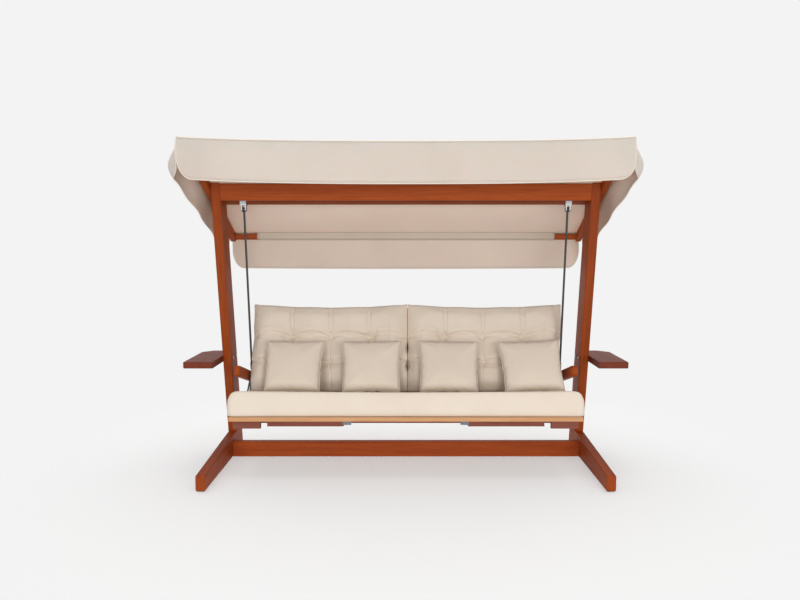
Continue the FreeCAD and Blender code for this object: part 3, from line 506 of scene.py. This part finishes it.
# %% Frames of the bench
seat_front = (0.0, -0.379, 0.402)
seat_depth = 0.580
seat_frame = Matrix.Translation(seat_front) @ Matrix.Rotation(math.radians(seat_tilt), 4, "X")
back_frame = seat_frame @ Matrix.Translation((0.0, seat_depth, 0.0))
back_frame = back_frame @ Matrix.Rotation(math.radians(-back_lean), 4, "X")


def into(matrix, points):
    """Points of the whole in a bench frame's own axes."""
    inverse = np.array(matrix.inverted())
    return points @ inverse[:3, :3].T + inverse[:3, 3]


def out_of(matrix, points):
    turned = np.array(matrix)
    return points @ turned[:3, :3].T + turned[:3, 3]


def soft_step(value, low, high):
    """0 below low, 1 above high, smooth between."""
    share = np.clip((value - low) / (high - low), 0.0, 1.0)
    return share * share * (3 - 2 * share)


def valley(distance, width):
    return np.exp(-(distance / width) ** 2)


def soft_copy(node, name, voxel_mm, shrink_mm, soften=6):
    """A finely meshed and slightly shrunken copy of a soft solid, which replaces it."""
    piece = bpy.data.objects.new(name, nodes[node].data.copy())
    scene.collection.objects.link(piece)
    modify(piece, "REMESH", mode="VOXEL", voxel_size=voxel_mm * mm)
    modify(piece, "DISPLACE", strength=-shrink_mm * mm, mid_level=0.0)
    modify(piece, "SMOOTH", factor=0.5, iterations=soften)
    bake(piece)
    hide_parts(node)
    print(name, "faces:", len(piece.data.polygons))
    return piece


def fit_room(piece, node, matrix):
    """The stuffed points in a bench frame, stretched to fill the room that the solid keeps for them."""
    room = into(matrix, get_points(nodes[node].data))
    local = into(matrix, get_points(piece.data))
    stretch = np.ptp(room, axis=0) / np.ptp(local, axis=0)
    print(piece.name, "stretched by", [round(float(s), 3) for s in stretch])
    return room.min(0) + (local - local.min(0)) * stretch


def straighten(local, along, across, low, high, levels=42):
    """Where a cushion reaches on axis across, from low to high at each level of axis along."""
    marks = np.linspace(local[:, along].min(), local[:, along].max(), levels)
    level = np.clip(np.digitize(local[:, along], marks) - 1, 0, levels - 2)
    middles = (marks[1:] + marks[:-1]) / 2
    ends = [(local[level == i, across].min(), local[level == i, across].max()) if (level == i).any()
            else (low, high) for i in range(levels - 1)]
    near, far = [np.interp(local[:, along], middles, end) for end in np.array(ends).T]
    return low + (local[:, across] - near) / np.maximum(far - near, 1e-6) * (high - low)


def square_up(local, first, first_end, second, second_end, radius):
    """Push the round edge between two faces of a cushion out to a squarer, boxed edge.

    first and second are the axes of the two faces, and the ends are the faces' places on them, with a sign.
    """
    p = np.clip(1 - (abs(first_end) - math.copysign(1, first_end) * local[:, first]) / radius, 0.0, 1.0)
    q = np.clip(1 - (abs(second_end) - math.copysign(1, second_end) * local[:, second]) / radius, 0.0, 1.0)
    grow = np.hypot(p, q) / np.maximum((p ** 4 + q ** 4) ** 0.25, 1e-9) - 1
    local[:, first] += math.copysign(radius, first_end) * p * grow
    local[:, second] += math.copysign(radius, second_end) * q * grow


def finish_soft(piece, finish, body):
    """Smooth the stuffed mesh once more, dress it and let it ride on a body."""
    modify(piece, "SUBSURF", levels=1, render_levels=1)
    bake(piece)
    piece.data.materials.clear()
    piece.data.materials.append(finish)
    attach(piece, body)


print("bench frames ready")

# %% Stuff the seat cushion
front_crown, rear_crown = 11 * mm, 2 * mm
edge_depth, edge_round = 14 * mm, 15 * mm
end_length, end_drop = 85 * mm, 26 * mm
seat_cushion = soft_copy("seat_cushion", "seat_cushion_cover", 13, 9, 4)
inflate(seat_cushion, 4.0, 12)
finish_soft(seat_cushion, cotton, "bench")
local = fit_room(seat_cushion, "seat_cushion", seat_frame)
low, high = local.min(0), local.max(0)
front, rear = local[:, 1] - low[1], high[1] - local[:, 1]
inward = np.minimum(front, rear)
boxed = straighten(local, 1, 2, 0.0, 1.0, 60)
from_middle = 2 * boxed - 1
taller = high[2] - low[2] + np.where(front < rear, front_crown, rear_crown)
edge = edge_round * np.clip(1 - inward / edge_depth, 0, 1) ** 2
boxed = low[2] + taller * boxed - edge * np.sign(from_middle) * np.abs(from_middle) ** 3
local[:, 2] += (boxed - local[:, 2]) * (1 - soft_step(inward, 0.08, 0.2))
end = np.clip((np.abs(local[:, 0]) - high[0] + end_length) / end_length, 0, 1)
local[:, 2] -= end_drop * end ** 2.5 * soft_step(local[:, 2], 0.09, 0.15)
set_points(seat_cushion, out_of(seat_frame, local))
print("seat cushion box:", [round(float(v), 3) for v in np.ptp(get_points(seat_cushion.data), axis=0)])

# %% [markdown]
# ## Tufted back cushions
# Each back cushion is stitched through at six covered buttons. Thread pulls the cover in there, and the cloth
# folds around the pull: pleats run from the buttons to the top edge, creases join the rows, and the fullness
# between two buttons hangs over in a scallop. The stuffing comes from the cloth solver with the buttons held in
# place. The folds are narrower than the remesh can carry, so they are pressed in afterwards on a finer mesh. Where
# no pillow leans on it, the lower part of a cushion puffs out.

# %% Fold shapes
halves = (("left", -1), ("right", 1))
half_inner = 0.0025
cushion_width = 1.0435
cushion_height = 0.610
button_columns = [half_inner + cushion_width * k / 4 for k in (1, 2, 3)]
button_rows = [0.347 * cushion_height, 0.627 * cushion_height]
top_corner = 60 * mm
free_puff = 45 * mm
slat_face = -14.5 * mm


def folds(x, z):
    """How deep the cover is drawn in at width x and height z on the front, in metres."""
    low_row, high_row = button_rows
    depth = np.zeros_like(x)
    for column in button_columns:
        # The thread's pull, a pair of pleats up to the top edge, and one crease between and below the rows.
        for row in button_rows:
            depth += 12 * mm * valley(np.hypot(x - column, z - row), 20 * mm)
        spread = 2 * mm + 11 * mm * soft_step(z, high_row, high_row + 0.09)
        pleat = valley(np.abs(x - column) - spread, 3.2 * mm)
        depth += 7 * mm * pleat * soft_step(z, high_row - 0.005, high_row + 0.02)
        between = soft_step(z, low_row, low_row + 0.02) * (1 - soft_step(z, high_row - 0.02, high_row))
        depth += 8 * mm * valley(x - column, 3.4 * mm) * between
        below = 1 - soft_step(z, low_row - 0.02, low_row)
        bend = 14 * mm * soft_step(low_row - z, 0.02, 0.09)
        depth += 8 * mm * valley(x - column + bend, 3.6 * mm) * below
    edges = [half_inner] + button_columns + [half_inner + cushion_width]
    for row, rise in zip(button_rows, (0.020, 0.036)):
        for left, right in zip(edges, edges[1:]):
            # The fullness between two buttons hangs over the row in a scallop.
            middle, half = (left + right) / 2, (right - left) / 2
            share = np.clip((x - middle) / half, -1, 1)
            inside = (np.abs(x - middle) <= half).astype(float)
            line = row + rise * (1 - share ** 2)
            over = z - line
            lip = np.where(over > 0, valley(over, 3.5 * mm), valley(over, 17 * mm))
            depth += 11 * mm * lip * inside * (0.5 + 0.5 * np.abs(share))
            depth -= 6 * mm * valley(over - 22 * mm, 18 * mm) * inside * (1 - share ** 2)
        # Short creases run in from the side edges.
        side = np.minimum(x - half_inner, half_inner + cushion_width - x)
        depth += 10 * mm * valley(z - row + 0.1 * side, 4 * mm) * valley(side, 55 * mm)
        depth += 5 * mm * valley(z - row - 0.075 - 0.05 * side, 3 * mm) * valley(side, 24 * mm)
    # The sides stay full instead of rounding off.
    side = np.clip(np.minimum(x - half_inner, half_inner + cushion_width - x) / 0.13, 0, 1)
    return depth - 52 * mm * (1 - (1 - side) ** 2.5 - side)


def set_over(x, z):
    """The two cushions lie a little to the right on the bench, and the right one spreads at its top."""
    over = 12 * mm * (1 - np.minimum(1.0, np.abs(x)))
    wider = 8 * mm * soft_step(np.abs(x), 0.6, 1.0) * np.sign(x)
    return x + over + wider + 26 * mm * soft_step(x, 0.5, 1.0) * soft_step(z, 0.28, 0.45)


def held_in(x):
    """1 where a pillow leans on the back cushions, 0 where they are free to puff out."""
    hold = np.zeros_like(x)
    for number in range(1, 5):
        low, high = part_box("pillow_%d" % number)
        hold = np.maximum(hold, 1 - soft_step(np.abs(x - (low[0] + high[0]) / 2), 0.15, 0.23))
    return hold


def refine_front(piece, matrix):
    """Split the faces that look forward, so that they can carry fine creases."""
    work = bmesh.new()
    work.from_mesh(piece.data)
    forward = (matrix.to_3x3() @ Vector((0.0, -1.0, 0.0))).normalized()
    work.normal_update()
    front = {edge for face in work.faces if face.normal.dot(forward) > 0.35 for edge in face.edges}
    bmesh.ops.subdivide_edges(work, edges=list(front), cuts=1, use_grid_fill=True, smooth=0.0)
    work.to_mesh(piece.data)
    work.free()
    piece.data.shade_smooth()


print("button columns in m:", [round(c, 3) for c in button_columns])

# %% Stuff and tuft the back cushions
back_bottoms = {}
back_pieces = {}
for side, sign in halves:
    piece = soft_copy(side + "_back_cushion", side + "_back_cushion_cover", 11, 8)
    local = into(back_frame, get_points(piece.data))
    bottom = into(back_frame, get_points(nodes[side + "_back_cushion"].data))[:, 2].min()
    back_bottoms[side] = bottom
    x, z = sign * local[:, 0], local[:, 2] - bottom
    near = np.zeros(len(local), bool)
    for column in button_columns:
        for row in button_rows:
            near |= np.hypot(x - column, z - row) < 20 * mm
    inflate(piece, 4.5, 18, np.nonzero(near)[0])
    finish_soft(piece, cotton, "bench")
    refine_front(piece, back_frame)
    local = fit_room(piece, side + "_back_cushion", back_frame)
    local[:, 0] = local[:, 0] * sign - half_inner
    local[:, 2] -= bottom
    local[:, 0] = straighten(local, 2, 0, 0.0, cushion_width)
    square_up(local, 0, cushion_width, 2, cushion_height, top_corner)
    square_up(local, 0, -1e-6, 2, cushion_height, top_corner)
    # The seam between the two cushions gapes at two heights.
    open_seam = 19 * mm * (valley(local[:, 2] - 0.315, 45 * mm) + valley(local[:, 2] - 0.185, 38 * mm))
    local[:, 0] += (open_seam - 9 * mm) * valley(local[:, 0], 50 * mm)
    local[:, 0] = np.maximum(local[:, 0] + half_inner, 1.5 * mm) * sign
    local[:, 2] += bottom
    x, z = sign * local[:, 0], local[:, 2] - bottom
    normals = np.zeros(len(piece.data.vertices) * 3)
    piece.data.vertices.foreach_get("normal", normals)
    facing = -into(back_frame, normals.reshape(-1, 3) + np.array(back_frame.translation))[:, 1]
    front = soft_step(facing, 0.05, 0.45)
    local[:, 1] += folds(x, z) * front
    free = (1 - held_in(local[:, 0])) * (1 - soft_step(z, 0.22, 0.36))
    local[:, 1] -= free_puff * free * front
    # The top edge dips in the middle, and the rear stays in front of the slats.
    middle = 1 - (2 * (x - half_inner) / cushion_width - 1) ** 2
    local[:, 2] += (8 - 22 * middle) * mm * soft_step(z, 0.45, cushion_height)
    local[:, 1] = np.minimum(local[:, 1], slat_face)
    local[:, 0] = set_over(local[:, 0], z)
    set_points(piece, out_of(back_frame, local))
    back_pieces[side] = piece
print("back cushions:", sorted(back_pieces))

# %% [markdown]
# ## Buttons and piping
# The buttons are small domes covered in the same cotton. Each one lies where the thread has drawn the cover in,
# so its depth is read from the finished cushion. A thin piped seam runs round each cushion where its front and
# rear panels meet. Its path is the cushion's own outline, found as the furthest point in each direction.

# %% Covered buttons
def dome(centre, radius, height, rings=5, around=14):
    """Points and faces of a covered button, bulging towards -Y of the back frame."""
    verts = [centre + Vector((0.0, -height, 0.0))]
    for ring_number in range(1, rings + 1):
        angle = ring_number / rings * math.radians(115)
        for step in range(around):
            turn = 2 * math.pi * step / around
            verts.append(centre + Vector((radius * math.sin(angle) * math.cos(turn), -height * math.cos(angle),
                                          radius * math.sin(angle) * math.sin(turn))))
    faces = [(0, 1 + (s + 1) % around, 1 + s) for s in range(around)]
    for r in range(rings - 1):
        first, second = 1 + r * around, 1 + (r + 1) * around
        faces += [(first + s, first + (s + 1) % around, second + (s + 1) % around, second + s)
                  for s in range(around)]
    faces.append(tuple(range(1 + (rings - 1) * around, 1 + rings * around)))
    return verts, faces


verts, faces = [], []
for side, sign in halves:
    local = into(back_frame, get_points(back_pieces[side].data))
    for column in button_columns:
        for row in button_rows:
            target = np.array([set_over(sign * column, row), row + back_bottoms[side]])
            near = np.hypot(local[:, 0] - target[0], local[:, 2] - target[1]) < 14 * mm
            drawn = local[near & (local[:, 1] < -40 * mm), 1].max()
            more_verts, more_faces = dome(Vector((target[0], drawn, target[1])), 10.5 * mm, 6 * mm)
            faces += [tuple(i + len(verts) for i in face) for face in more_faces]
            verts += [back_frame @ v for v in more_verts]
buttons = new_piece("covered_buttons", verts, faces, cotton, "bench")
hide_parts("cushion_buttons")
print("buttons:", len(faces) // len(more_faces))

# %% Piping round the back cushions
def outline_path(flat, depth, count):
    """The furthest points of a cushion seen from the front, one for each of count directions."""
    centre = (flat.min(0) + flat.max(0)) / 2
    half = np.ptp(flat, axis=0) / 2
    unit = (flat - centre) / half
    turn = np.arctan2(unit[:, 1], unit[:, 0])
    reach = np.max(np.abs(unit), axis=1)
    path = []
    for step in range(count):
        angle = -math.pi + 2 * math.pi * (step + 0.5) / count
        gap = np.abs((turn - angle + math.pi) % (2 * math.pi) - math.pi)
        # Points that lie in other directions are sorted last.
        chosen = np.argsort(np.where(gap < 1.6 * math.pi / count, -reach, 9))[:4]
        path.append(np.append(flat[chosen].mean(0), depth[chosen].mean()))
    path = np.array(path)
    for _ in range(3):
        path = (np.roll(path, 1, 0) + 2 * path + np.roll(path, -1, 0)) / 4
    return path


seam_x = set_over(0.0, 0.0)
for side, sign in halves:
    local = into(back_frame, get_points(back_pieces[side].data))
    path = outline_path(local[:, [0, 2]], local[:, 1], 150)
    path[:, 0] = seam_x + sign * np.maximum(sign * (path[:, 0] - seam_x), 4 * mm)
    path = out_of(back_frame, path[:, [0, 2, 1]])
    seam = tube(side + "_back_cushion_piping", path, 3.6, piping, "bench", closed=True)
    print(seam.name, "points:", len(path))

# %% [markdown]
# ## Pillows
# A pillow is two squares of cotton sewn together and filled, so it is made that way: two flat grids share their
# edge, and the cloth solver blows them up. The edges draw in and the corners stay out as ears, which no
# rounded box gives. One pillow is sewn once. The four copies are turned and pushed a little, so none is a twin.

# %% Sew and fill one pillow
sewn_size = 0.400
cells = 30


def point_key(row, column, layer):
    """Both layers share the points of their sewn edge, which is layer 0."""
    edge = row in (0, cells) or column in (0, cells)
    return row, column, 0 if edge else layer


verts, faces, index = [], [], {}
for layer in (1, -1):
    for row in range(cells + 1):
        for column in range(cells + 1):
            key = point_key(row, column, layer)
            if key not in index:
                index[key] = len(verts)
                u, v = column / cells - 0.5, row / cells - 0.5
                puff = 12 * mm * layer * math.sqrt((1 - 4 * u * u) * (1 - 4 * v * v))
                wobble = 1.0 * mm * noise.noise(Vector((9 * u, 9 * v, layer)))
                verts.append((sewn_size * u, wobble - puff if key[2] else 0.0, sewn_size * v))
    for row in range(cells):
        for column in range(cells):
            corners = [(row, column), (row, column + 1), (row + 1, column + 1), (row + 1, column)]
            face = [index[point_key(r, c, layer)] for r, c in corners]
            faces.append(face if layer == 1 else face[::-1])
rim = [(0, c) for c in range(cells)] + [(r, cells) for r in range(cells)]
rim += [(cells, c) for c in range(cells, 0, -1)] + [(r, 0) for r in range(cells, 0, -1)]
rim = [index[(r, c, 0)] for r, c in rim]
pattern = new_piece("pillow_pattern", verts, faces, cotton, "bench")
inflate(pattern, 5.0, 90, tension=80.0, stop_mm=118)
filled = get_points(pattern.data)
filled -= (filled.max(0) + filled.min(0)) / 2
# A power below one makes the two faces fuller towards their edges.
half_thick = np.abs(filled[:, 1]).max()
filled[:, 1] = np.sign(filled[:, 1]) * half_thick * (np.abs(filled[:, 1]) / half_thick) ** 0.62
print("filled pillow in mm:", [round(float(v) / mm) for v in np.ptp(filled, axis=0)])

# %% Place the four pillows
pillow_room = np.array([0.380, 0.122, 0.380])
pillow_lean = Matrix.Rotation(math.radians(-34.8), 4, "X")
sunk_in = Vector((0.0, 0.0, -5 * mm))
for number, turned, wider in zip(range(1, 5), (0.0, -1.0, 1.0, -3.0), (1.02, 1.06, 1.07, 1.1)):
    node = "pillow_%d" % number
    low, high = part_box(node)
    shape = filled * (pillow_room / np.ptp(filled, axis=0))
    quarter = Matrix.Rotation(math.radians(90 * number), 3, "Y")
    shape = shape @ np.array(quarter).T
    shape[:, 0] *= wider * (1 + 0.08 * shape[:, 2] / pillow_room[2])
    shape = shape @ np.array(Matrix.Rotation(math.radians(turned), 3, "Y")).T
    for i, point in enumerate(shape):
        push = noise.noise(Vector(point) * 9 + Vector((7.0 * number, 0.0, 0.0)))
        shape[i] += np.array([0.0, 3.5 * mm * push * (1 - min(1, abs(point[0]) / 0.2)), 0.0])
    at = Matrix.Translation((low + high) / 2 + sunk_in) @ pillow_lean
    placed = out_of(at, shape)
    cover = new_piece(node + "_cover", placed, faces, cotton, "bench")
    modify(cover, "SUBSURF", levels=1, render_levels=1)
    bake(cover)
    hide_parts(node)
    tube(node + "_piping", placed[rim], 2.6, piping, "bench", closed=True)
bpy.data.objects.remove(pattern)
print("pillows placed: 4")

# %% [markdown]
# ## Canvas roof
# The roof is one sheet that is pulled over the two bars and sags a little between them and the beams. It could
# be a flat plate, but light across the slack is what says canvas. The points of each sheet are worked out from
# the slope of the roof arms, then given the thickness of the cloth.

# %% Roof sheet
canvas_thickness = 2.5 * mm
roof_front, roof_rear = -0.5353, 0.5665
front_half, rear_half = 1.304, 1.279
arm_line_y, arm_line_z = -0.213, 1.836
arm_height = 0.055


def arm_line(y):
    """Height of the canopy arms' lower face."""
    return arm_line_z - roof_slope * (y - arm_line_y)


def arm_top(y):
    return arm_line(y) + arm_height


def roof_half(y):
    """Half of the roof's width, which tapers to the rear."""
    share = (y - roof_front) / (roof_rear - roof_front)
    return front_half + share * (rear_half - front_half)


def cloth_sheet(name, points, node, finish=canvas):
    """A sheet of canvas from rows of points, in the place of its solid."""
    rows, columns = points.shape[:2]
    piece = new_piece(name, points.reshape(-1, 3), grid_faces(rows, columns), finish, "stand")
    modify(piece, "SOLIDIFY", thickness=canvas_thickness, offset=0.0)
    bake(piece)
    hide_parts(node)
    print(name, "points:", rows * columns)


def slack(y, start, end, depth):
    """Sag of a stretch of cloth between two supports."""
    share = np.clip((y - start) / (end - start), 0.0, 1.0)
    return depth * np.sin(math.pi * share) ** 2


def front_lift(u):
    """The front edge sags in the middle and is pulled up at its two corners. u runs from -1 to 1."""
    return 14 * mm * u ** 4 - 9 * mm * (1 - u ** 2)


y, u = np.meshgrid(np.linspace(roof_front, roof_rear, 44), np.linspace(-1, 1, 81), indexing="ij")
x = u * roof_half(y)
free = 1 - np.minimum(1.0, np.abs(x) / 1.235) ** 6
z = arm_top(y) + canvas_thickness / 2
z -= free * (slack(y, -0.495, -0.105, 9 * mm) + slack(y, 0.063, 0.522, 13 * mm))
z += 1.2 * mm * free * np.sin(9 * x + 2 * y) * np.sin(math.pi * (y - roof_front) / (roof_rear - roof_front))
z += front_lift(u) * (1 - soft_step(y, roof_front, -0.15))
cloth_sheet("canopy_top_canvas", np.stack([x, y, z], -1), "canopy_top")

# %% [markdown]
# ## Valances
# Front and rear valances are strips sewn to the roof's edges. Their lower corners are cut round and a pale
# piping is sewn round the cut, which also makes the hem hang straight. The strips have only slight waves, because
# heavy canvas that short hardly folds.


def valance(name, y, half, top, drop, sway, phase, corner, rises, pulled):
    """A hanging strip with round lower corners, a sagging hem and piping round its cut edge.

    The corners are quarter ellipses: corner is their width, and rises are their heights at the left and right.
    pulled is 1 where the strip follows the roof's lifted front edge, and 0 where it is straight.
    """
    ends = np.linspace(0, 1, 15) ** 2
    x = np.concatenate([-half + corner * ends, np.linspace(corner - half, half - corner, 90)[1:-1],
                        half - corner * ends[::-1]])
    past = np.maximum(0.0, np.abs(x) - (half - corner))
    rise = np.where(x < 0, rises[0], rises[1])
    low = top - drop + rise * (1 - np.sqrt(np.maximum(0.0, 1 - (past / corner) ** 2)))
    low += pulled * front_lift(x / half) - 6 * mm * (1 - np.minimum(1.0, np.abs(x) / (half - corner)) ** 2)
    rows = np.linspace(0, 1, 13)[:, None]
    upper = top + pulled * front_lift(x / half)
    z = upper + rows * (low - upper)
    wave = 0.6 * np.sin(2 * math.pi * x / 0.83 + phase) + 0.4 * np.sin(2 * math.pi * x / 0.37 + 2 * phase)
    shift = sway * rows ** 1.5 * (0.5 + 0.5 * wave)
    points = np.stack([np.broadcast_to(x, z.shape), y + shift, z], -1)
    cut = np.concatenate([points[:, 0], points[-1, 1:-1], points[::-1, -1]])
    hem = tube(name + "_piping", cut, 3.4, piping, "stand")
    cloth_sheet(name + "_canvas", points, name)


front_y, front_top = -0.5366, 2.0466
valance("front_valance", y=front_y, half=1.308, top=front_top, drop=0.234, sway=-7 * mm, phase=0.8,
        corner=0.086, rises=(0.130, 0.088), pulled=1.0)
valance("rear_valance", y=0.5678, half=1.258, top=1.5232, drop=0.245, sway=-6 * mm, phase=2.1,
        corner=0.080, rises=(0.125, 0.125), pulled=0.0)
edge_x = np.linspace(-front_half, front_half, 90)
edge = np.stack([edge_x, np.full_like(edge_x, front_y), front_top + front_lift(edge_x / front_half)], -1)
tube("front_edge_seam", edge, 3.6, piping, "stand")
print("valances hung")

# %% [markdown]
# ## Side flaps
# The flaps hang from the slope at both sides. At the front, where nothing holds them, they flare outwards, and
# towards the rear they fall in shallow folds. Their front lower corner is cut to a large round.

# %% Side flaps
def flap(side, sign):
    """A side flap from the roof's edge, flared at its free front corner."""
    corner = 0.060
    drop = 0.195
    y, t = np.meshgrid(np.linspace(roof_front, roof_rear, 90), np.linspace(0, 1, 15))
    ahead = np.maximum(0.0, corner - (y - roof_front))
    length = drop - corner + np.sqrt(np.maximum(0.0, corner ** 2 - ahead ** 2))
    share = (y - roof_front) / (roof_rear - roof_front)
    flare = (6 * mm + 88 * mm * (1 - share) ** 4) * (0.1 + 0.9 * soft_step(y - roof_front, 0.0, 0.075))
    ripple = 11 * mm * (0.5 + 0.5 * np.cos(2 * math.pi * 4 * share + 0.4)) * soft_step(share, 0.0, 0.1)
    x = roof_half(y) + canvas_thickness / 2
    x = x + flare * np.sin(0.8 * math.pi * t) + ripple * t ** 1.4
    lifted = front_lift(np.ones_like(y)) * (1 - soft_step(y, roof_front, -0.15))
    z = arm_top(y) + canvas_thickness + lifted - t * length
    points = np.stack([sign * x, y, z], -1)
    cut = np.concatenate([points[:, 0], points[-1, 1:-1], points[::-1, -1]])
    hem = tube(side + "_side_flap_piping", cut, 3.2, piping, "stand")
    cloth_sheet(side + "_side_flap_canvas", points, side + "_side_flap")


for side, sign in halves:
    flap(side, sign)
print("flaps hung")

# %% [markdown]
# ## Rear bar
# The rear bar runs through a sleeve of doubled canvas, and only its two ends are bare.

# %% Sleeve on the rear bar
bar_y, bar_half, sleeve_half = 0.546, 15.6 * mm, 1.075
bar_lift = 0.026
bar_z = arm_line(bar_y) + bar_lift
round_turn = np.linspace(0, 2 * math.pi, 33)
ring_y = np.clip(1.35 * np.cos(round_turn), -1, 1) * bar_half
ring_top = np.where(np.sin(round_turn) > 0, bar_half + 11 * mm, bar_half)
ring_z = np.clip(1.35 * np.sin(round_turn), -1, 1) * ring_top - roof_slope * ring_y
x = np.linspace(-sleeve_half, sleeve_half, 70)[:, None]
puff = 1 + 0.015 * np.sin(34 * x + 3 * np.cos(round_turn)[None, :])
points = np.stack([np.broadcast_to(x, puff.shape), bar_y + ring_y * puff, bar_z + ring_z * puff], -1)
cloth_sheet("rear_bar_sleeve_canvas", points, "rear_bar_sleeve",
            finish=doubled_painted_shade_canvas)
